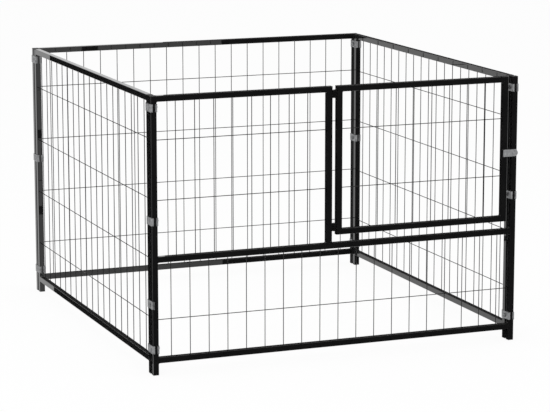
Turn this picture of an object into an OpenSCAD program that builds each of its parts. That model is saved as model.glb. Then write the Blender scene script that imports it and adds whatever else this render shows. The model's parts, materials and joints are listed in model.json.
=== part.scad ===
// Outdoor dog kennel run: four welded panels of square tube and wire mesh, clamped at the corners,
// with a hinged door and a drop latch in the front panel. The origin is on the ground, in the middle
// of the footprint. X runs to the right along the front, Y runs from the front to the back, Z is up.

/* [Panels] */
// Width of the front and back panels
panel_w = 1000; // [900:10:1400]
// Length of the side panels, which stand between the front and the back
side_l = 1000; // [600:10:1400]
// Height of all panels above the ground
panel_h = 700; // [620:10:1000]
// Outside width of the square tube
tube = 15; // [14:0.5:20]
// Wall thickness of the square tube
tube_wall = 1.2; // [0.8:0.1:1.8]
// Outside corner radius of the square tube
tube_corner = 1.5; // [1:0.1:2]
// Length of the legs below the bottom rails
leg_h = 30; // [25:1:60]
// Height of the underside of the front panel's middle rail
mid_rail_z = 285; // [255:5:330]

/* [Mesh] */
// Thickness of the mesh wire
wire_d = 2; // [1.6:0.1:3]
// Distance between upright wires
wire_pitch = 50; // [30:5:70]
// Distance between level wires
row_pitch = 150; // [100:10:160]
// How deep crossing wires are welded into each other
weld_sink = 0.3; // [0.2:0.05:0.5]

/* [Door] */
// Width of the door
door_w = 480; // [380:5:520]
// Gap between the door and the posts beside it
door_gap = 12.5; // [11.5:0.1:16]
// Gap between the door and the middle rail
door_sill_gap = 20; // [8:1:40]

/* [Hinges] */
// Height of one hinge
hinge_h = 20; // [16:1:30]
// Outside diameter of the hinge barrel
barrel_d = 11; // [9:0.1:11]
// Diameter of the hinge pin
hinge_pin_d = 6; // [4:0.1:7]
// Depth of the hinge axis behind the front face
hinge_inset = 4; // [3:0.1:4]
// Distance of each hinge from the end of the door
hinge_from_end = 10; // [6:1:40]

/* [Clamps] */
// Height of a clamp
clamp_h = 20; // [16:1:30]
// Sheet thickness of a clamp
clamp_sheet = 1.5; // [1:0.1:2.5]
// How far a clamp's lips reach over the posts
clamp_lip = 4.5; // [3:0.1:6]
// Diameter of the clamp bolts
bolt_d = 6; // [5:0.1:8]
// Distance from the top of a panel to its top clamps
top_clamp_down = 30; // [28:1:60]
// Distance from the middle rail up to the middle clamps
mid_clamp_up = 88; // [20:1:140]
// Distance from the bottom rails up to the lowest clamps
low_clamp_up = 20; // [17:1:40]
// Distance from the middle rail down to the single strap
strap_down = 107; // [60:1:130]

/* [Latch] */
// Height of the latch above the lower edge of the door
latch_up = 180; // [60:5:250]
// Height of the latch arms
latch_h = 19; // [18.8:0.1:24]
// Sheet thickness of the latch
latch_sheet = 1.6; // [1.2:0.1:1.7]
// How far the latch arms reach over the door's free stile
latch_reach = 12.5; // [8:0.5:14]
// Diameter of the latch's pivot bolt
latch_bolt_d = 5; // [4:0.1:6]

/* [Hidden] */
$fn = 48;

// Running clearance of pins in bores, and air between pieces that move past each other
pin_play = 0.05;
slide_play = 0.3;
knuckle_play = 0.4;
// Air on each side of a bolt that passes between two posts
bolt_side_play = 0.5;
// How far a cutting shape stands past the faces that it cuts
cut_over = 1;

// Plan of the kennel
pair_gap = bolt_d + 2 * bolt_side_play;
pair_span = 2 * tube + pair_gap;
depth = side_l + 2 * (tube + pair_gap);
post_x = panel_w / 2 - tube / 2;
end_y = depth / 2 - tube / 2;
side_end_y = side_l / 2 - tube / 2;
pair_y = depth / 2 - pair_span / 2;
front_y = -depth / 2;

// Levels of the rails
low_rail_top = leg_h + tube;
top_rail_z = panel_h - tube;
mid_rail_top = mid_rail_z + tube;

// Plugs in the tube ends
plug_flange = 2;
plug_stem = 10;
plug_play = 0.1;
tube_bore = tube - 2 * tube_wall;

// Door and the bay on its left
door_z = mid_rail_top + door_sill_gap;
door_right = panel_w / 2 - tube - door_gap;
door_left = door_right - door_w;
hinge_post_x = door_left - door_gap - tube / 2;
bay_left = -panel_w / 2 + tube;
bay_right = hinge_post_x - tube / 2;

// Mesh rules: upright wires keep this distance to the frame, level wires are counted down from the top rail
// and stop short of the rail below
wire_margin = 30;
row_margin = 95;
row_edge = 12;
wire_shift = (wire_d - weld_sink) / 2;
mesh_rows = [for (z = [top_rail_z - row_margin : -row_pitch : low_rail_top + row_edge]) z];

// Clamps, with heads, nuts and washers in proportion to their bolts
clamp_levels = [low_rail_top + low_clamp_up, mid_rail_top + mid_clamp_up, panel_h - top_clamp_down];
corners = [[-1, -1], [1, -1], [-1, 1], [1, 1]];
strap_z = mid_rail_z - strap_down;
bend_r = tube_corner / 2;
clamp_grip = tube / 2 + clamp_sheet;
head_d = 2.4 * bolt_d;
head_h = 0.62 * bolt_d;
nut_corners_d = 1.85 * bolt_d;
nut_h = 0.8 * bolt_d;
bolt_tail = 1.5;
neck_play = 0.1;
strap_head_h = 2;
strap_head_d = 2 * bolt_d;
socket_d = 0.75 * bolt_d;
socket_depth = 1.4;
washer_d = 3 * bolt_d;
washer_t = 1.2;
thin_nut_h = 0.45 * bolt_d;
thin_nut_tail = 0.5;

// Hinges
hinge_x = door_left - door_gap / 2;
hinge_y = front_y + hinge_inset;
hinge_levels = [door_z + hinge_from_end, panel_h - hinge_from_end - hinge_h];
knuckle_h = (hinge_h - 2 * knuckle_play) / 3;
pad_w = 2 * (hinge_inset - tube_corner);
pin_head_h = 1.2;
pin_head_rim = 1;
pin_head_d = hinge_pin_d + 2 * pin_head_rim;

// Latch
latch_z = door_z + latch_up;
latch_x = post_x;
latch_tip_x = door_right - latch_reach;
latch_front_y = front_y - slide_play;
latch_back_y = front_y + tube + slide_play;
latch_tip_r = 2.5;
web_play = 0.5;
latch_head_d = 2.3 * latch_bolt_d;
latch_head_h = 0.6 * latch_bolt_d;
latch_nut_corners_d = 1.6 * latch_bolt_d;
latch_nut_h = 3.2;
latch_axial_play = 0.15;

// Colours as the object shows them
coat = [0.07, 0.07, 0.075];
wire_coat = [0.1, 0.1, 0.105];
plastic = [0.05, 0.05, 0.05];
zinc = [0.66, 0.67, 0.68];

// Square outline with round corners, centred
module rounded_square(w, r) {
    square([w - 2 * r, w], center = true);
    square([w, w - 2 * r], center = true);
    for (x = [-1, 1], y = [-1, 1])
        translate([x * (w / 2 - r), y * (w / 2 - r)]) circle(r);
}

// Cross-section of the square tube
module tube_section() {
    difference() {
        rounded_square(tube, tube_corner);
        square(tube_bore, center = true);
    }
}

// Tube standing on z = 0
module upright_tube(length) {
    linear_extrude(length) tube_section();
}

// Tube lying along X, centred, with its underside on z = 0
module cross_tube(length) {
    translate([-length / 2, 0, tube / 2]) rotate([0, 90, 0]) linear_extrude(length) tube_section();
}

// Post of full height, shortened for the plug at each end
module full_post() {
    translate([0, 0, plug_flange]) upright_tube(panel_h - 2 * plug_flange);
}

// Welded mesh in the XZ plane, with its wires ending at the frame that surrounds the opening
module wire_mesh(x0, x1, z0, z1) {
    span = x1 - x0;
    count = floor((span - 2 * wire_margin) / wire_pitch) + 1;
    margin = (span - (count - 1) * wire_pitch) / 2;
    rows = [for (z = mesh_rows) if (z > z0 + row_edge && z < z1 - row_edge) z];
    color(wire_coat)
        union() {
            for (i = [0 : count - 1])
                translate([x0 + margin + i * wire_pitch, -wire_shift, z0])
                    cylinder(d = wire_d, h = z1 - z0);
            for (z = rows)
                translate([x0, wire_shift, z]) rotate([0, 90, 0]) cylinder(d = wire_d, h = span);
        }
}

// Front panel

module front_post_left() {
    color(coat) translate([-post_x, -end_y, 0]) full_post();
}

// The right post also carries the latch's pivot bolt
module front_post_right() {
    color(coat)
        difference() {
            translate([post_x, -end_y, 0]) full_post();
            translate([latch_x, front_y - cut_over, latch_z])
                along_y(d = latch_bolt_d + 2 * pin_play, h = tube + 2 * cut_over);
        }
}

module front_bottom_rail() {
    color(coat) translate([0, -end_y, leg_h]) cross_tube(panel_w - 2 * tube);
}

module front_mid_rail() {
    color(coat) translate([0, -end_y, mid_rail_z]) cross_tube(panel_w - 2 * tube);
}

module front_hinge_post() {
    color(coat)
        translate([hinge_post_x, -end_y, mid_rail_top]) upright_tube(panel_h - mid_rail_top - plug_flange);
}

module front_top_rail() {
    color(coat)
        translate([(bay_left + bay_right) / 2, -end_y, top_rail_z]) cross_tube(bay_right - bay_left);
}

module front_mesh_lower() {
    translate([0, -end_y, 0]) wire_mesh(-panel_w / 2 + tube, panel_w / 2 - tube, low_rail_top, mid_rail_z);
}

module front_mesh_upper() {
    translate([0, -end_y, 0]) wire_mesh(bay_left, bay_right, mid_rail_top, top_rail_z);
}

// Door, a frame of four tubes mitred at the corners

// Outline of a mitred tube in its own plane: its outer edge lies on v = 0
module mitre_outline(length) {
    polygon([[0, 0], [length, 0], [length - tube, tube], [tube, tube]]);
}

// Mitred tube along X with its long side down on z = 0, starting at x = 0
module mitred_tube(length) {
    intersection() {
        translate([length / 2, 0, 0]) cross_tube(length);
        translate([0, tube, 0]) rotate([90, 0, 0]) linear_extrude(2 * tube) mitre_outline(length);
    }
}

module door_bottom_rail() {
    color(coat) translate([door_left, -end_y, door_z]) mitred_tube(door_w);
}

module door_top_rail() {
    color(coat) translate([door_left, -end_y, panel_h]) mirror([0, 0, 1]) mitred_tube(door_w);
}

module door_hinge_stile() {
    color(coat)
        translate([door_left, -end_y, panel_h]) rotate([0, 90, 0]) mitred_tube(panel_h - door_z);
}

module door_latch_stile() {
    color(coat)
        translate([door_right, -end_y, door_z]) rotate([0, -90, 0]) mitred_tube(panel_h - door_z);
}

module door_mesh() {
    translate([0, -end_y, 0])
        wire_mesh(door_left + tube, door_right - tube, door_z + tube, top_rail_z);
}

// Back panel

module back_post_left() {
    color(coat) translate([-post_x, end_y, 0]) full_post();
}

module back_post_right() {
    color(coat) translate([post_x, end_y, 0]) full_post();
}

module back_bottom_rail() {
    color(coat) translate([0, end_y, leg_h]) cross_tube(panel_w - 2 * tube);
}

module back_top_rail() {
    color(coat) translate([0, end_y, top_rail_z]) cross_tube(panel_w - 2 * tube);
}

module back_mesh() {
    translate([0, end_y, 0])
        mirror([0, 1, 0]) wire_mesh(-panel_w / 2 + tube, panel_w / 2 - tube, low_rail_top, top_rail_z);
}

// Side panels, alike on both sides: side is -1 on the left and 1 on the right

module side_post(side, end) {
    color(coat) translate([side * post_x, end * side_end_y, 0]) full_post();
}

module side_rail(side, z) {
    color(coat) translate([side * post_x, 0, z]) rotate([0, 0, 90]) cross_tube(side_l - 2 * tube);
}

module side_mesh(side) {
    translate([side * post_x, 0, 0])
        rotate([0, 0, 90 * side]) wire_mesh(-side_l / 2 + tube, side_l / 2 - tube, low_rail_top, top_rail_z);
}

// Plastic plugs in the tube ends, each a flange with the tube's outline and a stem inside the tube

module plug() {
    linear_extrude(plug_flange) rounded_square(tube, tube_corner);
    translate([0, 0, plug_flange])
        linear_extrude(plug_stem) square(tube_bore - 2 * plug_play, center = true);
}

module at_full_posts() {
    for (side = [-1, 1], end = [-1, 1]) {
        translate([side * post_x, end * end_y, 0]) children();
        translate([side * post_x, end * side_end_y, 0]) children();
    }
}

module post_caps() {
    color(plastic) {
        at_full_posts() translate([0, 0, panel_h]) mirror([0, 0, 1]) plug();
        translate([hinge_post_x, -end_y, panel_h]) mirror([0, 0, 1]) plug();
    }
}

module post_feet() {
    color(plastic) at_full_posts() plug();
}

// Corner clamps. In a clamp's own frame x points out of the kennel and y runs along the side,
// with the origin in the gap between the two posts.

// Bent strip: a web across both posts and a lip around each end
module clamp_section() {
    half = pair_span / 2;
    outside = bend_r + clamp_sheet;
    bend_x = tube / 2 - bend_r;
    bend_y = half - bend_r;
    translate([tube / 2, -bend_y]) square([clamp_sheet, 2 * bend_y]);
    for (end = [-1, 1]) {
        translate([bend_x, end * bend_y])
            intersection() {
                difference() {
                    circle(outside);
                    circle(bend_r);
                }
                translate([0, end > 0 ? 0 : -outside]) square(outside);
            }
        translate([tube / 2 - clamp_lip, end > 0 ? half : -half - clamp_sheet])
            square([clamp_lip - bend_r, clamp_sheet]);
    }
}

// Round bolt hole in a clamp's web
module clamp_round_hole() {
    translate([tube / 2 - cut_over, 0, 0])
        along_x(d = bolt_d + 2 * neck_play, h = clamp_sheet + 2 * cut_over);
}

// Outer half, with a square hole that keeps the bolt from turning
module clamp_outer_half() {
    hole = bolt_d + 2 * neck_play;
    difference() {
        translate([0, 0, -clamp_h / 2]) linear_extrude(clamp_h) clamp_section();
        translate([tube / 2 - cut_over, -hole / 2, -hole / 2]) cube([clamp_sheet + 2 * cut_over, hole, hole]);
    }
}

// Inner half, with a round hole
module clamp_inner_half() {
    mirror([1, 0, 0])
        difference() {
            translate([0, 0, -clamp_h / 2]) linear_extrude(clamp_h) clamp_section();
            clamp_round_hole();
        }
}

module along_x(d, h) {
    rotate([0, 90, 0]) cylinder(d = d, h = h);
}

module along_y(d, h) {
    rotate([-90, 0, 0]) cylinder(d = d, h = h);
}

// Domed head standing on z = 0, cut from the sphere that has its width and height
module domed_head(d, h) {
    ball_r = (d * d / 4 + h * h) / (2 * h);
    intersection() {
        translate([0, 0, h - ball_r]) sphere(ball_r, $fn = 64);
        cylinder(d = d + cut_over, h = h + cut_over);
    }
}

// Carriage bolt: dome outside, square neck in the outer half, shank through the gap
module carriage_bolt() {
    translate([clamp_grip, 0, 0]) rotate([0, 90, 0]) domed_head(head_d, head_h);
    translate([tube / 2, -bolt_d / 2, -bolt_d / 2]) cube([clamp_sheet, bolt_d, bolt_d]);
    translate([-clamp_grip - nut_h - bolt_tail, 0, 0])
        along_x(d = bolt_d, h = 2 * clamp_grip - clamp_sheet + nut_h + bolt_tail);
}

// Hexagon nut of height h on the bolt, with its outer face against x = seat
module bolt_nut(seat, h) {
    translate([seat - h, 0, 0])
        difference() {
            rotate([0, 90, 0]) cylinder(d = nut_corners_d, h = h, $fn = 6);
            translate([-cut_over, 0, 0]) along_x(d = bolt_d + 2 * pin_play, h = h + 2 * cut_over);
        }
}

// Children placed at one corner: side is -1 on the left, end is -1 at the front
module at_corner(side, end) {
    translate([side * post_x, end * pair_y, 0])
        mirror([side < 0 ? 1 : 0, 0, 0])
            children();
}

module at_clamps(side, end) {
    for (z = clamp_levels)
        at_corner(side, end) translate([0, 0, z]) children();
}

module clamp_outer(side, end) {
    color(zinc) at_clamps(side, end) clamp_outer_half();
}

module clamp_inner(side, end) {
    color(zinc) at_clamps(side, end) clamp_inner_half();
}

module clamp_bolts() {
    color(zinc) for (c = corners) at_clamps(c[0], c[1]) carriage_bolt();
}

module clamp_nuts() {
    color(zinc) for (c = corners) at_clamps(c[0], c[1]) bolt_nut(-clamp_grip, nut_h);
}

// Single strap on the front left corner: an outer half drawn up against a washer and a thin nut

module at_strap() {
    at_corner(-1, -1) translate([0, 0, strap_z]) children();
}

module strap_plate() {
    color(zinc)
        at_strap()
            difference() {
                translate([0, 0, -clamp_h / 2]) linear_extrude(clamp_h) clamp_section();
                clamp_round_hole();
            }
}

// Low round head with a hexagon socket
module strap_bolt() {
    inner_end = -tube / 2 - washer_t - thin_nut_h - thin_nut_tail;
    color(zinc)
        at_strap()
            difference() {
                union() {
                    translate([clamp_grip, 0, 0]) along_x(d = strap_head_d, h = strap_head_h);
                    translate([inner_end, 0, 0]) along_x(d = bolt_d, h = clamp_grip - inner_end);
                }
                translate([clamp_grip + strap_head_h - socket_depth, 0, 0])
                    rotate([0, 90, 0]) cylinder(d = socket_d, h = socket_depth + cut_over, $fn = 6);
            }
}

module strap_washer() {
    color(zinc)
        at_strap()
            translate([-tube / 2 - washer_t, 0, 0])
                difference() {
                    along_x(d = washer_d, h = washer_t);
                    translate([-cut_over, 0, 0])
                        along_x(d = bolt_d + 2 * neck_play, h = washer_t + 2 * cut_over);
                }
}

module strap_nut() {
    color(zinc) at_strap() bolt_nut(-tube / 2 - washer_t, thin_nut_h);
}

// Hinges: two knuckles on the post, one on the door between them, and a headed pin through all three

// Knuckle number i from below, with a weld pad that reaches to the tube beside it
module knuckle(level, i, toward) {
    pad_l = door_gap / 2;
    translate([hinge_x, hinge_y, level + i * (knuckle_h + knuckle_play)])
        difference() {
            union() {
                cylinder(d = barrel_d, h = knuckle_h);
                translate([toward > 0 ? 0 : -pad_l, -pad_w / 2, 0]) cube([pad_l, pad_w, knuckle_h]);
            }
            translate([0, 0, -cut_over])
                cylinder(d = hinge_pin_d + 2 * pin_play, h = knuckle_h + 2 * cut_over);
        }
}

module hinge_frame(level) {
    color(coat) for (i = [0, 2]) knuckle(level, i, -1);
}

module hinge_door(level) {
    color(coat) knuckle(level, 1, 1);
}

module hinge_pin(level) {
    color(coat)
        translate([hinge_x, hinge_y, level]) {
            cylinder(d = hinge_pin_d, h = hinge_h);
            translate([0, 0, hinge_h]) domed_head(pin_head_d, pin_head_h);
        }
}

// Latch: two arms that straddle the door's free stile, joined below by a web in the gap beside the post

// Arm outline in the XZ plane, round at the pivot and eased at the tip
module latch_arm_outline() {
    r = latch_h / 2;
    reach = latch_x - latch_tip_x;
    circle(r);
    translate([-reach + latch_tip_r, -r]) square([reach - latch_tip_r, latch_h]);
    translate([-reach, -r + latch_tip_r]) square([latch_tip_r, latch_h - 2 * latch_tip_r]);
    for (v = [-1, 1])
        translate([-reach + latch_tip_r, v * (r - latch_tip_r)]) circle(latch_tip_r);
}

// Arm whose front face lies at y
module latch_arm(y) {
    translate([latch_x, y + latch_sheet, latch_z]) rotate([90, 0, 0])
        linear_extrude(latch_sheet) latch_arm_outline();
}

module latch_fork() {
    // The web's lower left corner swings past the stile as the fork is lifted
    web_swing = latch_x - door_right - web_play;
    web_left = latch_x - sqrt(web_swing * web_swing - latch_h * latch_h / 4);
    web_right = post_x - tube / 2 - web_play;
    web_front = latch_front_y - latch_sheet;
    web_back = latch_back_y + latch_sheet;
    color(zinc)
        difference() {
            union() {
                latch_arm(web_front);
                latch_arm(latch_back_y);
                translate([web_left, web_front, latch_z - latch_h / 2])
                    cube([web_right - web_left, web_back - web_front, latch_sheet]);
            }
            translate([latch_x, web_front - cut_over, latch_z])
                along_y(d = latch_bolt_d + 2 * pin_play, h = web_back - web_front + 2 * cut_over);
        }
}

// Pivot bolt through the post, with its dome in front of the fork
module latch_bolt() {
    head_y = latch_front_y - latch_sheet - latch_axial_play;
    tail_y = latch_back_y + latch_sheet + latch_axial_play + latch_nut_h;
    color(zinc) {
        translate([latch_x, head_y, latch_z]) rotate([90, 0, 0]) domed_head(latch_head_d, latch_head_h);
        translate([latch_x, head_y, latch_z]) along_y(d = latch_bolt_d, h = tail_y - head_y);
    }
}

module latch_nut() {
    color(zinc)
        translate([latch_x, latch_back_y + latch_sheet + latch_axial_play, latch_z])
            difference() {
                rotate([-90, 0, 0]) cylinder(d = latch_nut_corners_d, h = latch_nut_h, $fn = 6);
                translate([0, -cut_over, 0])
                    along_y(d = latch_bolt_d + 2 * pin_play, h = latch_nut_h + 2 * cut_over);
            }
}

front_post_left();
front_post_right();
front_bottom_rail();
front_mid_rail();
front_hinge_post();
front_top_rail();
front_mesh_lower();
front_mesh_upper();
door_hinge_stile();
door_latch_stile();
door_top_rail();
door_bottom_rail();
door_mesh();
back_post_left();
back_post_right();
back_top_rail();
back_bottom_rail();
back_mesh();
side_post(-1, -1);  // left_post_front
side_post(-1, 1);  // left_post_back
side_rail(-1, top_rail_z);  // left_top_rail
side_rail(-1, leg_h);  // left_bottom_rail
side_mesh(-1);  // left_mesh
side_post(1, -1);  // right_post_front
side_post(1, 1);  // right_post_back
side_rail(1, top_rail_z);  // right_top_rail
side_rail(1, leg_h);  // right_bottom_rail
side_mesh(1);  // right_mesh
post_caps();
post_feet();
clamp_outer(-1, -1);  // clamp_outer_front_left
clamp_outer(1, -1);  // clamp_outer_front_right
clamp_outer(-1, 1);  // clamp_outer_back_left
clamp_outer(1, 1);  // clamp_outer_back_right
clamp_inner(-1, -1);  // clamp_inner_front_left
clamp_inner(1, -1);  // clamp_inner_front_right
clamp_inner(-1, 1);  // clamp_inner_back_left
clamp_inner(1, 1);  // clamp_inner_back_right
clamp_bolts();
clamp_nuts();
strap_plate();
strap_bolt();
strap_washer();
strap_nut();
hinge_frame(hinge_levels[0]);  // hinge_lower_frame
hinge_door(hinge_levels[0]);  // hinge_lower_door
hinge_pin(hinge_levels[0]);  // hinge_lower_pin
hinge_frame(hinge_levels[1]);  // hinge_upper_frame
hinge_door(hinge_levels[1]);  // hinge_upper_door
hinge_pin(hinge_levels[1]);  // hinge_upper_pin
latch_fork();
latch_bolt();
latch_nut();
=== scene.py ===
# %% [markdown]
# # An outdoor dog kennel run
# The kennel is four panels of black square tube and welded wire, held at the corners by zinc plated
# clamps, with a hinged door and a drop latch in the front. Its solids come from a CAD model that is
# loaded here as a fixed frame: nothing of it is moved. Blender adds what CAD leaves out, which is the
# finishes, the welds, the turned hardware and the eased edges.

# %% Load the frame
import json
import math

import bmesh
import bpy
from mathutils import Matrix, Vector

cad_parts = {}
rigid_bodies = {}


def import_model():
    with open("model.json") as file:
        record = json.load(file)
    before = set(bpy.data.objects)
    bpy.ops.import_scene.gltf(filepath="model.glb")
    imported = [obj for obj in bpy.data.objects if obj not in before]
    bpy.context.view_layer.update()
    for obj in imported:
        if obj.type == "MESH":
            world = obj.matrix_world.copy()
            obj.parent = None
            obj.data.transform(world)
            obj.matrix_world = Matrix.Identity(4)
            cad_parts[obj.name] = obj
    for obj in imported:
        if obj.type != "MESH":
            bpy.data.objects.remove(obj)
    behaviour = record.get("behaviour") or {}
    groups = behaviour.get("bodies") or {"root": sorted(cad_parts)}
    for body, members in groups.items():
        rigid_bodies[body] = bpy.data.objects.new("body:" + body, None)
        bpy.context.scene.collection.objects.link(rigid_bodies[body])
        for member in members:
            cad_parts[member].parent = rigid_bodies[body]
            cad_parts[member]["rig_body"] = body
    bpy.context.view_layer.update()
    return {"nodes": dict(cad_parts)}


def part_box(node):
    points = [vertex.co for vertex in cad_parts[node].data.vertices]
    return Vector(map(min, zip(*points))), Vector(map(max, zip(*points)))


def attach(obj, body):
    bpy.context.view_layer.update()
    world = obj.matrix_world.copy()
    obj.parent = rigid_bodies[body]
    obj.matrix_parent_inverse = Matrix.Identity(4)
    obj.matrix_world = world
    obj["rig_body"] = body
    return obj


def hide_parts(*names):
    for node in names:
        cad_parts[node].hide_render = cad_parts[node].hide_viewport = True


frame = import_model()
nodes = frame["nodes"]
MM = 0.001

# %% [markdown]
# ## The camera
# The photograph looks at the left front corner from above the top rails, through a long lens.
# A camera could be placed by eye. This one was fitted to the edges of the posts and rails, so that the
# model lands on the picture.

# %% Camera
QUARTER = math.pi / 2
CAMERA_PLACE, LENS = (-2.3156, -5.8923, 1.5060), 154.16
LOOK_DOWN, LOOK_RIGHT = 0.1880, 0.3792

bpy.ops.object.camera_add(location=CAMERA_PLACE, rotation=(QUARTER - LOOK_DOWN, 0, -LOOK_RIGHT))
camera = bpy.context.object
camera.data.lens = LENS
bpy.context.scene.camera = camera
bpy.context.scene.view_settings.view_transform = "Standard"
print("camera lens", camera.data.lens, "mm")

# %% [markdown]
# ## Writing shader maths as expressions
# A finish is a tree of nodes, and trees are hard to read in code. One small class wraps a socket, so
# that 1 - mask or noise * 0.2 adds the Math node by itself, and one function adds every other node: its
# type, its settings, then the values or links of its sockets.


# %% Sockets that do arithmetic
class Value:
    """A socket in a node tree. Arithmetic on it adds Math nodes to that tree."""

    def __init__(self, tree, socket):
        self.tree, self.socket = tree, socket

    def math(self, operation, first, second):
        return add_node(self.tree, "ShaderNodeMath", {"operation": operation}, {0: first, 1: second})

    def __add__(self, other):
        return self.math("ADD", self, other)

    def __sub__(self, other):
        return self.math("SUBTRACT", self, other)

    def __rsub__(self, other):
        return self.math("SUBTRACT", other, self)

    def __mul__(self, other):
        return self.math("MULTIPLY", self, other)

    __radd__, __rmul__ = __add__, __mul__

    def highest(self, other):
        return self.math("MAXIMUM", self, other)


def add_node(tree, kind, settings=None, inputs=None, out=0):
    """Adds a node, sets it up, fills its sockets, and returns one of its outputs, if it has any."""
    node = tree.nodes.new(kind)
    for name, setting in (settings or {}).items():
        setattr(node, name, setting)
    for key, value in (inputs or {}).items():
        if isinstance(value, Value):
            tree.links.new(value.socket, node.inputs[key])
        else:
            node.inputs[key].default_value = value
    return Value(tree, node.outputs[out]) if node.outputs else None


print("shader helpers", [helper.__name__ for helper in (Value, add_node)])

# %% [markdown]
# ## The studio
# The photograph has a pure white ground with no horizon. More light would also brighten the kennel, so
# the floor and the world instead glow white only for rays from the camera and from reflections, and the
# floor still takes a faint shadow.

# %% Floor and world
AMBIENT, FLOOR_GLOW = 0.8, 0.92
FLOOR_RADIUS, FLOOR_DROP = 60, 0.1 * MM
WHITE, PAPER_WHITE = (1, 1, 1, 1), (0.92, 0.92, 0.92, 1)


def bare_tree(owner):
    """The node tree of a material or a world, with nothing in it."""
    owner.use_nodes = True
    owner.node_tree.nodes.clear()
    return owner.node_tree


def seen_directly(tree):
    """1 for rays from the camera, a shiny surface or glass, 0 for rays that only carry light."""
    rays = [add_node(tree, "ShaderNodeLightPath", out=f"Is {name} Ray")
            for name in ("Camera", "Glossy", "Transmission")]
    return rays[0].highest(rays[1]).highest(rays[2])


bpy.ops.mesh.primitive_circle_add(
    vertices=96, radius=FLOOR_RADIUS, fill_type="NGON", location=(0, 0, -FLOOR_DROP))
floor = bpy.context.object
floor.name = "studio_floor"
paper = bpy.data.materials.new("studio_paper")
tree = bare_tree(paper)
matt = add_node(tree, "ShaderNodeBsdfDiffuse", inputs={"Color": PAPER_WHITE})
glow = add_node(tree, "ShaderNodeEmission", inputs={"Color": WHITE, "Strength": 1.0})
lit = add_node(tree, "ShaderNodeMixShader", inputs={0: seen_directly(tree) * FLOOR_GLOW, 1: matt, 2: glow})
add_node(tree, "ShaderNodeOutputMaterial", inputs={0: lit})
floor.data.materials.append(paper)

world = bpy.data.worlds.new("studio_air")
tree = bare_tree(world)
air = add_node(tree, "ShaderNodeBackground",
               inputs={"Color": WHITE, "Strength": seen_directly(tree) * (1 - AMBIENT) + AMBIENT})
add_node(tree, "ShaderNodeOutputWorld", inputs={0: air})
bpy.context.scene.world = world
print("floor", floor.name, "world", world.name)

# %% [markdown]
# Strong lamps would wash out the black, and small ones would throw hard shadows on the white floor.
# So three large, weak area lamps, one overhead and one on each side, light the kennel at a plain level.

# %% Lamps
AIM = Vector((0, 0, 0.35))


def softbox(name, place, size, power):
    """A soft square lamp, size wide, that looks at the middle of the kennel."""
    turn = (AIM - Vector(place)).to_track_quat("-Z", "Y").to_euler()
    bpy.ops.object.light_add(type="AREA", location=place, rotation=turn)
    lamp = bpy.context.object
    lamp.name = name
    lamp.data.size = size
    lamp.data.energy = power
    return lamp


lamps = [
    softbox("lamp_overhead", (-0.4, -0.3, 3.4), 1.8, 18),
    softbox("lamp_left", (-3.4, -2.8, 2.6), 1.4, 36),
    softbox("lamp_right", (3.6, -2.6, 1.9), 1.4, 16),
]
print("lamps", [lamp.name for lamp in lamps])

# %% [markdown]
# Black gloss shows whatever stands around it. In the photograph the left side of the kennel and most
# tops are black, and only the left top rail is bright above. A studio gets this with dark cards, so one
# stands on the left, a tall one stands behind on the right, and a low one beside it darkens the tops of
# the left and the back bottom rail. Only reflections see them.

# %% Dark cards
FELT_BLACK = (0.04, 0.04, 0.04, 1)


def new_finish(name, constants):
    """A Principled material with the sockets that are the same all over."""
    material = bpy.data.materials.new(name)
    material.use_nodes = True
    for socket, value in constants.items():
        material.node_tree.nodes["Principled BSDF"].inputs[socket].default_value = value
    return material


def dark_card(name, place, turn, size):
    """A card of black felt, which is seen in reflections only."""
    bpy.ops.mesh.primitive_plane_add(size=1, location=place, rotation=turn)
    card = bpy.context.object
    card.name = name
    card.scale = (*size, 1)
    card.data.materials.append(felt)
    card.visible_camera = card.visible_diffuse = card.visible_shadow = False
    return card


felt = new_finish("studio_felt", {"Base Color": FELT_BLACK, "Specular IOR Level": 0})
cards = [
    dark_card("studio_card_left", (-0.57, 0.037, 0.40), (0, QUARTER, 0), (0.80, 0.726)),
    dark_card("studio_card_behind", (1.25, 2.0, 0.75), (QUARTER, 0, 0), (1.7, 1.5)),
    dark_card("studio_card_low", (0.12, 2.0, 0.50), (QUARTER, 0, 0), (0.56, 0.60)),
]
print("cards", [card.name for card in cards])

# %% [markdown]
# The front of the kennel is black in the photograph too, while the left half of the back panel, seen
# through it, is dark grey. One card across the front would darken both. So strips of felt stand close
# to the tubes that are black, and between them the others still see the bright room.

# %% A strip of felt
STRIP_OFF, STRIP_MARGIN = 3 * MM, 7 * MM
LEFT, FRONT = 0, 1
ANYWHERE = (-math.inf, math.inf)


def felt_strip(tube, side, along=ANYWHERE, across=ANYWHERE, off=STRIP_OFF):
    """A strip off the left or the front of a tube, cut to a stretch along the tube and across it."""
    low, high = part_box(tube)
    run = max(range(3), key=lambda axis: high[axis] - low[axis])
    edge = Vector((STRIP_MARGIN,) * 3)
    low, high = low - edge, high + edge
    for axis, (start, end) in ((run, along), (3 - side - run, across)):
        low[axis], high[axis] = max(low[axis], start), min(high[axis], end)
    middle, size = (low + high) / 2, high - low
    middle[side] = low[side] + STRIP_MARGIN - off
    turn, size = ((0, QUARTER, 0), size.zy) if side == LEFT else ((QUARTER, 0, 0), size.xz)
    return dark_card("studio_strip_" + tube, middle, turn, size)


def felt_between(post, side, metal, across=ANYWHERE):
    """Strips along a post, in the stretches between the bright metal on it."""
    starts = [-math.inf] + [top for _, top in metal]
    ends = [bottom for bottom, _ in metal] + [math.inf]
    return [felt_strip(post, side, stretch, across) for stretch in zip(starts, ends)]


def beyond(start):
    """The stretch from a place on."""
    return start, math.inf


def up_to(end):
    """The stretch that ends at a place."""
    return -math.inf, end


print("strips stand", STRIP_OFF / MM, "mm off a tube and pass its edges by", STRIP_MARGIN / MM, "mm")

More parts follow.
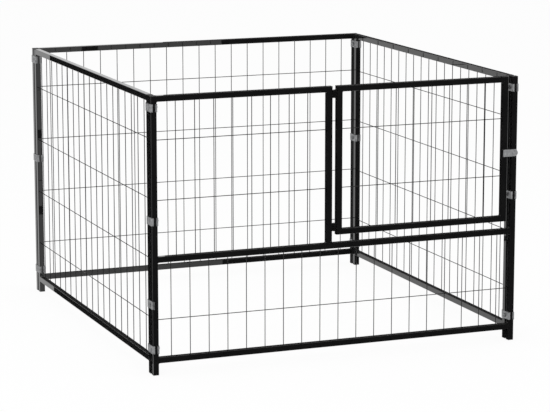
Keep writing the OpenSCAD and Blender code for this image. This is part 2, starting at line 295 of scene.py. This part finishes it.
# %% [markdown]
# On the left rails the strips end before the back corner, because there the rails are grey. The strips
# leave out the clamps, the strap and the latch, which are bright metal. Where black tube shows beside
# that metal, a short narrow strip stands in front of it.

# %% Strips along the black tubes
GREY_HALF_END, GREY_CORNER_START, GREY_POST_END = 68 * MM, 375 * MM, 513 * MM
LEFT_RAIL_STRIP_OFF = 9 * MM
CLAMP_LEVELS = [65 * MM, 388 * MM, 670 * MM]

clamp_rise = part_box("clamp_inner_front_right")[1].z - CLAMP_LEVELS[-1]
clamps = [(z - clamp_rise, z + clamp_rise) for z in CLAMP_LEVELS]
latch, strap = [tuple(corner.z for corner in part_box(node)) for node in ("latch_fork", "strap_plate")]
clamps_and_latch, clamps_and_strap = sorted(clamps + [latch]), sorted(clamps + [strap])

strips = [felt_strip(tube, FRONT) for tube in (
    "front_hinge_post", "front_bottom_rail", "front_mid_rail", "front_top_rail",
    "door_hinge_stile", "door_bottom_rail", "door_top_rail")]
strips += [felt_strip(tube, FRONT, beyond(GREY_HALF_END), beyond(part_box(tube)[0].z))
           for tube in ("back_top_rail", "back_bottom_rail")]
strips += [felt_strip(tube, LEFT, up_to(GREY_CORNER_START), off=LEFT_RAIL_STRIP_OFF)
           for tube in ("left_top_rail", "left_bottom_rail")]
strips += [felt_strip(tube, LEFT) for tube in ("front_hinge_post", "door_hinge_stile", "door_latch_stile")]
for post, side, metal in (
    ("front_post_left", FRONT, clamps), ("left_post_front", LEFT, clamps_and_strap),
    ("right_post_back", FRONT, clamps), ("front_post_right", LEFT, clamps_and_latch),
    ("front_post_right", FRONT, clamps_and_latch), ("door_latch_stile", FRONT, [latch]),
):
    strips += felt_between(post, side, metal)
strips += felt_between("back_post_right", LEFT, clamps, beyond(GREY_POST_END))
strips.append(felt_strip("right_post_front", LEFT, up_to(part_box("right_bottom_rail")[0].z)))
for side in ("left", "right"):
    halves = [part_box(f"clamp_{half}_front_{side}") for half in ("outer", "inner")]
    slot_start, slot_end = sorted(corner.x for half in halves for corner in half)[1:3]
    slot = (slot_start, slot_end + STRIP_OFF)
    strips += [felt_strip("front_post_" + side, FRONT, clamp, slot) for clamp in clamps]
strips.append(felt_strip("door_latch_stile", FRONT, latch, up_to(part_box("latch_fork")[0].x)))
print("strips", len(strips))

# %% [markdown]
# ## Finishes
# Every finish starts from the Principled shader. What is the same all over is set on its sockets, and
# what changes over the surface comes from noise on Object coordinates, which stay with the piece. All
# the finishes are mixed from a few kinds of change: noise, a range of it, a colour and a bump.


# %% Parts of a finish
def feed(material, **sockets):
    """Links values that change over the surface to the shader: Base_Color stands for Base Color."""
    tree = material.node_tree
    for socket, value in sockets.items():
        tree.links.new(value.socket, tree.nodes["Principled BSDF"].inputs[socket.replace("_", " ")])


def noise(tree, lumps, detail=2.0, stretch=(1, 1, 1)):
    """Cloudy noise from 0 to 1, with that many lumps to the metre."""
    place = add_node(tree, "ShaderNodeTexCoord", out="Object")
    place = add_node(tree, "ShaderNodeMapping", inputs={"Vector": place, "Scale": stretch})
    return add_node(tree, "ShaderNodeTexNoise", inputs={"Vector": place, "Scale": lumps, "Detail": detail})


def between(value, low, high):
    """0 up to low, 1 from high on, and a ramp between them."""
    return add_node(value.tree, "ShaderNodeMapRange", inputs={0: value, 1: low, 2: high, 3: 0.0, 4: 1.0})


def tint(factor, dark, light):
    """A colour between two colours."""
    return add_node(factor.tree, "ShaderNodeMix", {"data_type": "RGBA"},
                    {0: factor, 6: (*dark, 1), 7: (*light, 1)}, out=2)


def relief(height, depth):
    """A bump of that depth in metres."""
    return add_node(height.tree, "ShaderNodeBump",
                    inputs={"Strength": 1.0, "Distance": depth, "Height": height})


print("finish helpers", [helper.__name__ for helper in (feed, noise, between, tint, relief)])

# %% [markdown]
# ### Black powder coat
# Powder is sprayed on dry and melted in an oven. It sets to a gloss black with a faint orange peel, a
# few nibs of dust baked in, and outdoors a thin film of dust gathers on what faces up. A plain black
# would show none of that, so each has its own noise. On the thin wire the coat looks duller than on the
# tube, so there it has a lower IOR.

# %% Powder coat for tube and wire
COAT_BLACK, DUST_GREY = (0.0050, 0.0050, 0.0053), (0.030, 0.029, 0.028)


def facing_up(tree):
    """1 on level faces that look up, 0 on upright ones."""
    normal = add_node(tree, "ShaderNodeTexCoord", out="Normal")
    return between(add_node(tree, "ShaderNodeSeparateXYZ", inputs={0: normal}, out="Z"), 0.5, 0.95)


def powder_coat(name, ior, peel_lumps, peel_depth):
    """A coat with an orange peel of that scale and depth. A lower IOR makes it duller."""
    coat = new_finish(name, {"IOR": ior})
    tree = coat.node_tree
    peel = noise(tree, peel_lumps)
    nibs = between(noise(tree, 3 * peel_lumps, detail=1.0), 0.70, 0.78)
    cloud = noise(tree, 16, detail=3.0)
    film = facing_up(tree) * between(noise(tree, 90, detail=4.0), 0.38, 0.72)
    feed(
        coat,
        Base_Color=tint(film * 0.5 + cloud * 0.2, COAT_BLACK, DUST_GREY),
        Roughness=cloud * 0.02 + film * 0.06 + 0.01,
        Normal=relief(peel + nibs * 0.6, peel_depth),
    )
    return coat


finishes = {
    "black_coat": powder_coat("powder_coat_on_tube", 1.5, 150, 0.003 * MM),
    "wire_coat": powder_coat("powder_coat_on_wire", 1.2, 800, 0.012 * MM),
}
print("coats", [coat.name for coat in finishes.values()])

# %% [markdown]
# ### Moulded plastic
# The plugs in the tube ends are matt polyethylene with the fine grain of a sparked mould. The grain is
# too fine to model, so it is a bump, and slow patches shift the shade and the gloss a little.

# %% Plug plastic
PLUG_DARK, PLUG_PALE = (0.008, 0.008, 0.008), (0.018, 0.018, 0.017)

plastic = new_finish("plug_plastic_matt", {"IOR": 1.45})
tree = plastic.node_tree
grain = noise(tree, 2600)
patch = noise(tree, 120, detail=3.0)
feed(
    plastic,
    Base_Color=tint(patch, PLUG_DARK, PLUG_PALE),
    Roughness=grain * 0.12 + patch * 0.10 + 0.46,
    Normal=relief(grain, 0.02 * MM),
)
finishes["plug_plastic"] = plastic
print("plastic", plastic.name)

# %% [markdown]
# ### Zinc plate
# Plated steel is a soft grey metal. Outdoors a dull film of oxide grows on it in clouds, so it is
# neither all metal nor all matt. Fine rolling lines show from the sheet below, and handling leaves
# small bright rubs where the film is worn off.

# %% Zinc plate
ZINC_DULL, ZINC_BRIGHT = (0.185, 0.188, 0.192), (0.360, 0.364, 0.368)
ROLLED = (1, 1, 0.06)

zinc = new_finish("zinc_plate_clouded", {})
tree = zinc.node_tree
cloud = between(noise(tree, 130, detail=4.0), 0.32, 0.68)
rolling = noise(tree, 1500, stretch=ROLLED)
rubs = between(noise(tree, 420, detail=5.0), 0.60, 0.72)
feed(
    zinc,
    Base_Color=tint(cloud * 0.6 + rubs * 0.25 + rolling * 0.15, ZINC_DULL, ZINC_BRIGHT),
    Metallic=0.72 - cloud * 0.24 + rubs * 0.20,
    Roughness=cloud * 0.14 - rubs * 0.08 + rolling * 0.08 + 0.36,
    Normal=relief(rolling * 0.4 + cloud * 0.6, 0.012 * MM),
)
finishes["zinc_plate"] = zinc
print("zinc", zinc.name)

# %% [markdown]
# ## Dressing the CAD nodes
# Each node comes in with a plain material that has the name of its slot, so the slot's finish goes in
# its place.

# %% Give each node its finish
slot_of = {name: node.material_slots[0].material.name.split(".")[0] for name, node in nodes.items()}
for name, node in nodes.items():
    node.material_slots[0].material = finishes[slot_of[name]]
print("dressed", {slot: list(slot_of.values()).count(slot) for slot in finishes})

# %% [markdown]
# ## Modelling by hand, in code
# An operator acts on whatever is selected, so each step first selects what it works on and nothing
# else. When a piece is done, its parts are joined and its place goes into its mesh. It then gets its
# finish and the body that it moves with, and the CAD node that it stands for, if there is one, is hidden.

# %% Selecting, and finishing a piece
SMOOTH_ANGLE = math.radians(38)


def only(obj):
    """Selects one object and nothing else."""
    bpy.ops.object.select_all(action="DESELECT")
    obj.select_set(True)
    bpy.context.view_layer.objects.active = obj
    return obj


def as_piece(name, parts, body, slot, stands_for=()):
    """Joins parts into one piece, puts its place in its mesh, and gives it a body and the finish of a
    slot.
    """
    piece = only(parts[0])
    for part in parts:
        part.select_set(True)
    bpy.ops.object.join()
    bpy.ops.object.transform_apply(location=True, rotation=True, scale=True)
    bpy.ops.object.shade_smooth_by_angle(angle=SMOOTH_ANGLE)
    piece.name = piece.data.name = name
    piece.data.materials.clear()
    piece.data.materials.append(finishes[slot])
    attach(piece, body)
    if stands_for:
        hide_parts(*stands_for)
    print(name, "faces", len(piece.data.polygons))
    return piece


print("piece helpers", [helper.__name__ for helper in (only, as_piece)])

# %% [markdown]
# ## Eased edges on the pressed parts
# Clamps, strap, latch and hinge knuckles are cut from sheet or bar and tumbled, so no edge is sharp.
# The bevel could be a shader trick, but then the mesh itself would stay sharp. Here a copy of the
# solid has its triangles merged back into faces, and its sharp edges get a small round.

# %% Eased copies
SHEET_EASE, BAR_EASE, WASHER_EASE = 0.30 * MM, 0.35 * MM, 0.25 * MM
SAME_POINT, FLAT_ANGLE, SHARP_ANGLE = 0.002 * MM, math.radians(0.5), math.radians(40)


def eased(node, radius):
    """A copy of a CAD node with rounded edges, which stands for that node."""
    obj = nodes[node].copy()
    obj.data = nodes[node].data.copy()
    obj.parent = None
    for key in list(obj.keys()):
        del obj[key]
    bpy.context.collection.objects.link(obj)
    only(obj)
    bpy.ops.object.mode_set(mode="EDIT")
    bpy.ops.mesh.customdata_custom_splitnormals_clear()
    bpy.ops.mesh.select_all(action="SELECT")
    bpy.ops.mesh.remove_doubles(threshold=SAME_POINT)
    bpy.ops.mesh.dissolve_limited(angle_limit=FLAT_ANGLE)
    bpy.ops.mesh.select_mode(type="EDGE")
    bpy.ops.mesh.select_all(action="DESELECT")
    bpy.ops.mesh.edges_select_sharp(sharpness=SHARP_ANGLE)
    bpy.ops.mesh.bevel(offset=radius, segments=2, affect="EDGES", clamp_overlap=True)
    bpy.ops.object.mode_set(mode="OBJECT")
    return as_piece(node + "_eased", [obj], nodes[node]["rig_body"], slot_of[node], [node])


sheet_parts = ("clamp_outer", "clamp_inner", "strap_plate", "latch_fork")
ease_of = {name: SHEET_EASE for name in nodes if name.startswith(sheet_parts)}
ease_of |= {f"hinge_{level}_{body}": BAR_EASE
            for level in ("lower", "upper") for body in ("frame", "door")}
ease_of["strap_washer"] = WASHER_EASE
for name in sorted(ease_of):
    eased(name, ease_of[name])

# %% [markdown]
# ## Welds on the tube
# A rail is cut square and pushed against its post. The posts have round corners, so a groove stays
# open on the two flush sides, and the welder fills it; above and below the rail runs a fillet. A bead
# is a row of small pools that froze one after the other: one pool is an ellipsoid, an Array lays the
# row, and a voxel Remesh melts the row into one skin.

# %% One bead
POOL_STEP, MELT_VOXEL = 1.45 * MM, 0.34 * MM
POOL_HALF = 1.25 * POOL_STEP


def change(obj, kind, **settings):
    """Adds a modifier, sets it up and applies it."""
    only(obj)
    modifier = obj.modifiers.new(kind.lower(), kind)
    for name, setting in settings.items():
        setattr(modifier, name, setting)
    bpy.ops.object.modifier_apply(modifier=modifier.name)
    return obj


def repeat(obj, count, step):
    """Repeats an object in a row, each one a step on from the last."""
    return change(obj, "ARRAY", count=count, use_relative_offset=False, use_constant_offset=True,
                  constant_offset_displace=step)


def weld_bead(length, across, deep):
    """A bead along Y with its crown towards Z, centred on the origin."""
    count = round(length / POOL_STEP)
    bpy.ops.mesh.primitive_uv_sphere_add(segments=16, ring_count=10, radius=1)
    bead = only(bpy.context.object)
    bead.scale = (across / 2, POOL_HALF, deep / 2)
    bead.location.y = -POOL_STEP * (count - 1) / 2
    bpy.ops.object.transform_apply(location=True, rotation=True, scale=True)
    repeat(bead, count, (0, POOL_STEP, 0))
    change(bead, "REMESH", mode="VOXEL", voxel_size=MELT_VOXEL)
    return change(bead, "SMOOTH", factor=0.4, iterations=2)


print("bead helpers", [helper.__name__ for helper in (change, repeat, weld_bead)])

# %% [markdown]
# A bead is modelled once and copied to each joint. The joints are read from the boxes of the rails and
# posts, so no bead is placed by hand. A groove bead sinks into its groove, and a fillet sits a little
# way out of its corner.

# %% Where the beads go
GROOVE_SINK, FILLET_OUT = 0.62 * MM, 0.45 * MM
UP, DOWN = Vector((0, 0, 1)), Vector((0, 0, -1))


def unit(axis, sign=1):
    """A direction along one axis."""
    return Vector([sign if i == axis else 0 for i in range(3)])


def turned(along, out, centre):
    """A placement with the model's Y along one direction and its Z out towards another."""
    along, out = Vector(along).normalized(), Vector(out).normalized()
    turn = Matrix((along.cross(out), along, out)).transposed().to_4x4()
    return Matrix.Translation(centre) @ turn


def box_and_middle(node):
    """The lowest and the highest corner of a node's box, and its middle."""
    low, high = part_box(node)
    return low, high, (low + high) / 2


def level_run(low, high):
    """The level axis that a rail or a mesh runs along."""
    return 0 if high.x - low.x > high.y - low.y else 1


def butt_joint(rail, above=True):
    """Places of the groove beads and of the fillets where a level rail meets its posts."""
    low, high, middle = box_and_middle(rail)
    run = level_run(low, high)
    side = 1 - run
    grooves, fillets = [], []
    for end, tip in ((-1, low[run]), (1, high[run])):
        for face, skin in ((-1, low[side]), (1, high[side])):
            spot = middle.copy()
            spot[run], spot[side] = tip + end * GROOVE_SINK, skin - face * GROOVE_SINK
            grooves.append(turned(UP, unit(side, face), spot))
        for sky, level in ((DOWN, low.z), (UP, high.z)):
            if above or sky is DOWN:
                spot = middle.copy()
                spot[run], spot.z = tip - end * FILLET_OUT, level + sky.z * FILLET_OUT
                fillets.append(turned(unit(side), unit(run, -end) + sky, spot))
    return grooves, fillets


def foot_joint(post):
    """The same where a short post stands on a level rail that runs along X."""
    low, high, middle = box_and_middle(post)
    grooves = [turned((1, 0, 0), (0, face, 0), (middle.x, y - face * GROOVE_SINK, low.z - GROOVE_SINK))
               for face, y in ((-1, low.y), (1, high.y))]
    fillets = [turned((0, 1, 0), (side, 0, 1), (x + side * FILLET_OUT, middle.y, low.z + FILLET_OUT))
               for side, x in ((-1, low.x), (1, high.x))]
    return grooves, fillets


print("joint helpers", [helper.__name__ for helper in (butt_joint, foot_joint)])

# %% [markdown]
# Every rail end gets two groove beads and its fillets. The top rails lie level with the caps of their
# posts, so no fillet runs above them. All the beads of a panel are joined into one piece.

# %% Beads on the four panels
GROOVE_BEAD = {"length": 13 * MM, "across": 2.7 * MM, "deep": 1.8 * MM}
FILLET_BEAD = {"length": 11.5 * MM, "across": 4.4 * MM, "deep": 2.3 * MM}


def copies(obj, places):
    """Copies of an object, each with its own mesh, one at each place. The first one is used up."""
    made = []
    for place in places:
        twin = obj.copy()
        twin.data = obj.data.copy()
        twin.matrix_world = place
        bpy.context.collection.objects.link(twin)
        made.append(twin)
    bpy.data.objects.remove(obj)
    return made


def tube_welds(name, joints):
    """All beads of one panel as one piece."""
    beads = copies(weld_bead(**GROOVE_BEAD), [place for grooves, _ in joints for place in grooves])
    beads += copies(weld_bead(**FILLET_BEAD), [place for _, fillets in joints for place in fillets])
    return as_piece(name, beads, "frame", "black_coat")


tube_welds("front_tube_welds", [
    butt_joint("front_bottom_rail"), butt_joint("front_mid_rail"),
    butt_joint("front_top_rail", above=False), foot_joint("front_hinge_post"),
])
for panel in ("back", "left", "right"):
    tube_welds(panel + "_tube_welds",
               [butt_joint(panel + "_bottom_rail"), butt_joint(panel + "_top_rail", above=False)])

# %% [markdown]
# The door's frame is mitred, so its seams run across the corners at 45 degrees. They are ground nearly
# flat on the two faces, and a fillet fills each inner corner.

# %% Beads on the door
SEAM_BEAD = {"length": 18 * MM, "across": 2.2 * MM, "deep": 1.2 * MM}
CORNER_BEAD = {"length": 11.5 * MM, "across": 4.0 * MM, "deep": 2.3 * MM}
SEAM_SINK = 0.35 * MM

door_low, door_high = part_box("door_hinge_stile")[0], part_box("door_latch_stile")[1]
tube_width = door_high.y - door_low.y
seams, corners = [], []
for right, x in ((-1, door_low.x), (1, door_high.x)):
    for top, z in ((-1, door_low.z), (1, door_high.z)):
        outer, inward = Vector((x, 0, z)), Vector((-right, 0, -top))
        for face, y in ((-1, door_low.y), (1, door_high.y)):
            spot = outer + inward * tube_width / 2
            spot.y = y - face * SEAM_SINK
            seams.append(turned(inward, (0, face, 0), spot))
        spot = outer + inward * (tube_width + FILLET_OUT)
        spot.y = (door_low.y + door_high.y) / 2
        corners.append(turned((0, 1, 0), inward, spot))
beads = copies(weld_bead(**SEAM_BEAD), seams)
beads += copies(weld_bead(**CORNER_BEAD), corners)
as_piece("door_tube_welds", beads, "door", "black_coat")

# %% [markdown]
# Each hinge knuckle has a short pad that is welded to the tube beside it. The bead lies behind the
# barrel, where the door's swing leaves room for it. The frame has the lower and the upper knuckle of a
# hinge, and the door has the middle one.

# %% Beads behind the hinge knuckles
KNUCKLE_BEAD = {"length": 5.8 * MM, "across": 2.4 * MM, "deep": 1.6 * MM}
PAD_BACK_Y, KNUCKLE_STEP = -515.5 * MM, 6.8 * MM


def knuckle_beads(hinge, numbers, side):
    """Places of the beads of some knuckles, counted from the middle. Side is where their tube stands."""
    low, high, middle = box_and_middle(hinge)
    x = (low, high)[side > 0].x - side * FILLET_OUT
    return [turned(UP, (-side, 1, 0), (x, PAD_BACK_Y + FILLET_OUT, middle.z + number * KNUCKLE_STEP))
            for number in numbers]


for body, numbers, side in (("frame", (-1, 1), -1), ("door", (0,), 1)):
    places = [place for level in ("lower", "upper")
              for place in knuckle_beads(f"hinge_{level}_{body}", numbers, side)]
    as_piece(body + "_hinge_welds", copies(weld_bead(**KNUCKLE_BEAD), places), body, "black_coat")

# %% [markdown]
# ## Welds on the wire
# The mesh is resistance welded: where two wires cross they are pressed together hot, and each wire end
# is tacked to the tube. There are hundreds of these dots, so one dot has only forty faces, and Array
# modifiers repeat it along the wires.

# %% Dots along the wires
WIRE_PITCH, WIRE_MARGIN, WIRE_OFF = 50 * MM, 30 * MM, 0.85 * MM
TOP_ROW, ROW_PITCH, ROW_EDGE, MOST_ROWS = 590 * MM, 150 * MM, 12 * MM, 4
END_DOT = {"radius": 1.7 * MM, "thickness": 1.0 * MM}
CROSS_DOT = {"radius": 1.25 * MM, "thickness": 1.1 * MM}
ROUNDING = 0.001


def dots(first, flat, repeats, radius, thickness):
    """One weld dot, flat along one axis, and repeated by a count and a step for each direction."""
    bpy.ops.mesh.primitive_uv_sphere_add(segments=8, ring_count=5, radius=1)
    dot = only(bpy.context.object)
    dot.scale, dot.location = [thickness if axis == flat else radius for axis in range(3)], first
    bpy.ops.object.transform_apply(location=True, rotation=True, scale=True)
    for count, step in repeats:
        repeat(dot, count, step)
    return dot


def wire_welds(mesh, out, body="frame"):
    """Dots at the wire ends and crossings of one mesh. Out is the side that the upright wires are on."""
    low, high, middle = box_and_middle(mesh)
    run = level_run(low, high)
    along, out, span = unit(run), Vector(out), high[run] - low[run]
    count = math.floor((span - 2 * WIRE_MARGIN) / WIRE_PITCH + ROUNDING) + 1
    margin = (span - (count - 1) * WIRE_PITCH) / 2
    levels = [TOP_ROW - i * ROW_PITCH for i in range(MOST_ROWS)]
    levels = sorted(z for z in levels if low.z + ROW_EDGE < z < high.z - ROW_EDGE)
    corner = middle - along * span / 2
    corner.z = 0
    first, lowest = corner + along * margin, UP * levels[0]
    next_wire, next_row = (count, along * WIRE_PITCH), (len(levels), UP * ROW_PITCH)
    parts = [
        dots(first + out * WIRE_OFF + UP * low.z, 2, [next_wire, (2, UP * (high.z - low.z))], **END_DOT),
        dots(corner - out * WIRE_OFF + lowest, run, [next_row, (2, along * span)], **END_DOT),
        dots(first + lowest, 1 - run, [next_wire, next_row], **CROSS_DOT),
    ]
    return as_piece(mesh.replace("_mesh", "_wire") + "_welds", parts, body, "wire_coat")


wire_welds("front_mesh_lower", (0, -1, 0))
wire_welds("front_mesh_upper", (0, -1, 0))
wire_welds("door_mesh", (0, -1, 0), "door")
wire_welds("back_mesh", (0, 1, 0))
wire_welds("left_mesh", (-1, 0, 0))
wire_welds("right_mesh", (1, 0, 0))

# %% [markdown]
# ## Turned hardware
# A bolt is round about its axis. It could be stacked from cylinders, but those would only touch. Here
# its outline is drawn point by point, by extruding one vertex, and Spin carries it round the axis, so
# that the bolt is one closed skin.

# %% Spinning an outline
LATHE_STEPS, LATHE_SAME_POINT = 32, 0.005 * MM


def lathe(outline):
    """Spins an outline of (radius, height) points round Z. It starts and ends on the axis."""
    bpy.ops.mesh.primitive_plane_add(size=MM)
    obj = only(bpy.context.object)
    bpy.ops.object.mode_set(mode="EDIT")
    bpy.ops.mesh.select_mode(type="VERT")
    bpy.ops.mesh.select_all(action="SELECT")
    bpy.ops.mesh.merge(type="CENTER")
    bpy.ops.transform.translate(value=(outline[0][0], 0, outline[0][1]))
    for before, after in zip(outline, outline[1:]):
        bpy.ops.mesh.extrude_vertices_move(
            TRANSFORM_OT_translate={"value": (after[0] - before[0], 0, after[1] - before[1])})
    bpy.ops.mesh.select_all(action="SELECT")
    bpy.ops.mesh.spin(steps=LATHE_STEPS, angle=2 * math.pi, center=(0, 0, 0), axis=(0, 0, 1))
    bpy.ops.mesh.select_all(action="SELECT")
    bpy.ops.mesh.remove_doubles(threshold=LATHE_SAME_POINT)
    bpy.ops.mesh.normals_make_consistent(inside=False)
    bpy.ops.object.mode_set(mode="OBJECT")
    return obj


print("the lathe turns in", LATHE_STEPS, "steps")

# %% [markdown]
# The clamps are held by carriage bolts: a dome with a thin rim, a plain shank and a rolled thread. At
# this size the slope of a thread doesn't show, so it is a row of turned rings and not a helix.

# %% Carriage bolts
BOLT_R, TIP_R, PLAIN_SHANK, SHANK = 3 * MM, 2.3 * MM, 14 * MM, 24.3 * MM
HEAD_R, HEAD_H, HEAD_RIM = 7.2 * MM, 3.72 * MM, 0.55 * MM
THREAD_PITCH, THREAD_DEPTH, THREAD_TURNS = 1.0 * MM, 0.42 * MM, 9


def dome(radius, height, rim, steps=10):
    """Points over a dome, from its crown down to its rim."""
    rise = height - rim
    ball = (radius * radius + rise * rise) / (2 * rise)
    angle = math.asin(radius / ball)
    return [(ball * math.sin(angle * i / steps), height - ball * (1 - math.cos(angle * i / steps)))
            for i in range(steps + 1)] + [(radius, 0)]


def thread(radius, start, pitch, turns, depth):
    """Crests and roots of a thread, going down from start."""
    return [(radius - depth * (i % 2), start - pitch * (i + 1) / 2) for i in range(2 * turns)]


bolt_outline = dome(HEAD_R, HEAD_H, HEAD_RIM) + [(BOLT_R, 0), (BOLT_R, -PLAIN_SHANK)]
bolt_outline += thread(BOLT_R, -PLAIN_SHANK, THREAD_PITCH, THREAD_TURNS, THREAD_DEPTH)
bolt_outline += [(TIP_R, -SHANK), (0, -SHANK)]
_, outer_high, outer_middle = box_and_middle("clamp_outer_back_right")
clamp_spots = [(side, end * outer_middle.y, z)
               for side in (-1, 1) for end in (-1, 1) for z in CLAMP_LEVELS]
bolts = copies(lathe(bolt_outline),
               [turned(UP, (side, 0, 0), (side * outer_high.x, y, z)) for side, y, z in clamp_spots])
as_piece("clamp_bolts_turned", bolts, "frame", "zinc_plate", ["clamp_bolts"])

# %% [markdown]
# A nut is a hexagon whose corners are turned off on both sides. The chamfer is what a ball leaves when
# it is intersected with the hexagon, so Boolean modifiers cut it and then the bore. The ball passes
# just outside the corners and meets each end face just inside the flats.

# %% Hexagon nuts
NUT_H, NUT_CORNERS = 4.8 * MM, 11.1 * MM
LATCH_NUT_CORNERS, LATCH_NUT_BORE = 8 * MM, 5 * MM
BALL_OUT, FACE_IN, BORE_EASE = 1.02, 0.98, 0.4 * MM


def hex_nut(corners_d, height, bore_d):
    """A chamfered nut round Z, centred, with two corners on the Y axis."""
    bpy.ops.mesh.primitive_cylinder_add(vertices=6, radius=corners_d / 2, depth=height)
    nut = bpy.context.object
    flats = corners_d / 2 * math.cos(math.pi / 6)
    ball_r, face_r = corners_d / 2 * BALL_OUT, flats * FACE_IN
    bpy.ops.mesh.primitive_uv_sphere_add(segments=48, ring_count=24, radius=1)
    ball = bpy.context.object
    bore_r, half_h = bore_d / 2, height / 2
    ball.scale = (ball_r, ball_r, half_h / math.sqrt(1 - (face_r / ball_r) ** 2))
    half = [(0, height), (bore_r + half_h + BORE_EASE, height), (bore_r, half_h - BORE_EASE)]
    bore = lathe(half + [(radius, -z) for radius, z in reversed(half)])
    change(nut, "BOOLEAN", operation="INTERSECT", object=ball, solver="EXACT")
    change(nut, "BOOLEAN", operation="DIFFERENCE", object=bore, solver="EXACT")
    for tool in (ball, bore):
        bpy.data.objects.remove(tool)
    return nut


nut_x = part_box("clamp_inner_back_right")[0].x - NUT_H / 2
nuts = copies(hex_nut(NUT_CORNERS, NUT_H, 2 * BOLT_R),
              [turned(UP, (-side, 0, 0), (side * nut_x, y, z)) for side, y, z in clamp_spots])
as_piece("clamp_nuts_chamfered", nuts, "frame", "zinc_plate", ["clamp_nuts"])
for node, along, out, corners_d, bore_d in (
    ("strap_nut", (0, 0, 1), (1, 0, 0), NUT_CORNERS, 2 * BOLT_R),
    ("latch_nut", (1, 0, 0), (0, 1, 0), LATCH_NUT_CORNERS, LATCH_NUT_BORE),
):
    low, high, middle = box_and_middle(node)
    height = (high - low).dot(Vector(out))
    nut = copies(hex_nut(corners_d, height, bore_d), [turned(along, out, middle)])
    as_piece(node + "_chamfered", nut, "frame", "zinc_plate", [node])

# %% [markdown]
# ## Plugs in the tube ends
# Each post is closed by a moulded plug: a flange with the outline of the tube, its upper rim rounded,
# a slightly crowned face, and a stem with ribs that grip inside the tube. It could be put together from
# boxes, but insets and extrusions on one box keep it in one skin, as it comes from the mould.

# %% One plug
FLANGE, RIM, RIM_STEPS, CROWN, CROWN_EDGE = 2 * MM, 0.8 * MM, 5, 0.05 * MM, 0.5 * MM
TUBE_CORNER, CORNER_STEPS = 1.5 * MM, 6
STEM, STEM_WIDTH, RIBS, RIB_NECK = 10 * MM, 12.4 * MM, 4, 0.94


def pick(obj, faces=None, edges=None):
    """In edit mode, selects the faces or the edges that pass a test."""
    bpy.ops.mesh.select_mode(type="FACE" if faces else "EDGE")
    bpy.ops.mesh.select_all(action="DESELECT")
    sketch = bmesh.from_edit_mesh(obj.data)
    for item in sketch.faces if faces else sketch.edges:
        if (faces or edges)(item):
            item.select_set(True)
    bmesh.update_edit_mesh(obj.data)


def moulded_plug():
    """A plug with its face up at z = 0 and its stem below."""
    wall = FLANGE - RIM - CROWN
    bpy.ops.mesh.primitive_cube_add(size=1)
    plug = only(bpy.context.object)
    plug.scale, plug.location.z = (tube_width, tube_width, wall), -FLANGE + wall / 2
    bpy.ops.object.transform_apply(location=True, rotation=True, scale=True)
    bpy.ops.object.mode_set(mode="EDIT")
    pick(plug, edges=lambda e: abs(e.verts[0].co.z - e.verts[1].co.z) > wall / 2)
    bpy.ops.mesh.bevel(offset=TUBE_CORNER, segments=CORNER_STEPS, affect="EDGES")
    pick(plug, faces=lambda f: f.normal.z > 0.99)
    turns = [QUARTER * i / RIM_STEPS for i in range(RIM_STEPS + 1)]
    for before, after in zip(turns, turns[1:]):
        bpy.ops.mesh.inset(thickness=RIM * (math.cos(before) - math.cos(after)),
                           depth=RIM * (math.sin(after) - math.sin(before)))
    bpy.ops.mesh.inset(thickness=CROWN_EDGE, depth=CROWN)
    pick(plug, faces=lambda f: f.normal.z < -0.99)
    bpy.ops.mesh.inset(thickness=(tube_width - STEM_WIDTH) / 2)
    for scale in (RIB_NECK, 1 / RIB_NECK) * RIBS:
        bpy.ops.mesh.extrude_region_move(TRANSFORM_OT_translate={"value": (0, 0, -STEM / (2 * RIBS))})
        bpy.ops.transform.resize(value=(scale, scale, 1))
    bpy.ops.object.mode_set(mode="OBJECT")
    return plug


print("plug of", round(tube_width / MM, 1), "mm with", RIBS, "ribs")

# %% [markdown]
# The same plug serves as a cap on top of a post and, upside down, as its foot. The short post beside
# the door stands on a rail, so it has a cap only.

# %% Caps and feet
posts = [post for side in ("left", "right") for end in ("front", "back")
         for post in (f"{end}_post_{side}", f"{side}_post_{end}")]


def post_ends(names, out, z):
    """Places of the plugs at one end of some posts, with their faces at that height."""
    middles = [box_and_middle(name)[2] for name in names]
    return [turned((0, 1, 0), out, (middle.x, middle.y, z)) for middle in middles]


caps = copies(moulded_plug(), post_ends(posts + ["front_hinge_post"], UP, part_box("post_caps")[1].z))
as_piece("post_caps_moulded", caps, "frame", "plug_plastic", ["post_caps"])
feet = copies(moulded_plug(), post_ends(posts, DOWN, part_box("post_feet")[0].z))
as_piece("post_feet_moulded", feet, "frame", "plug_plastic", ["post_feet"])
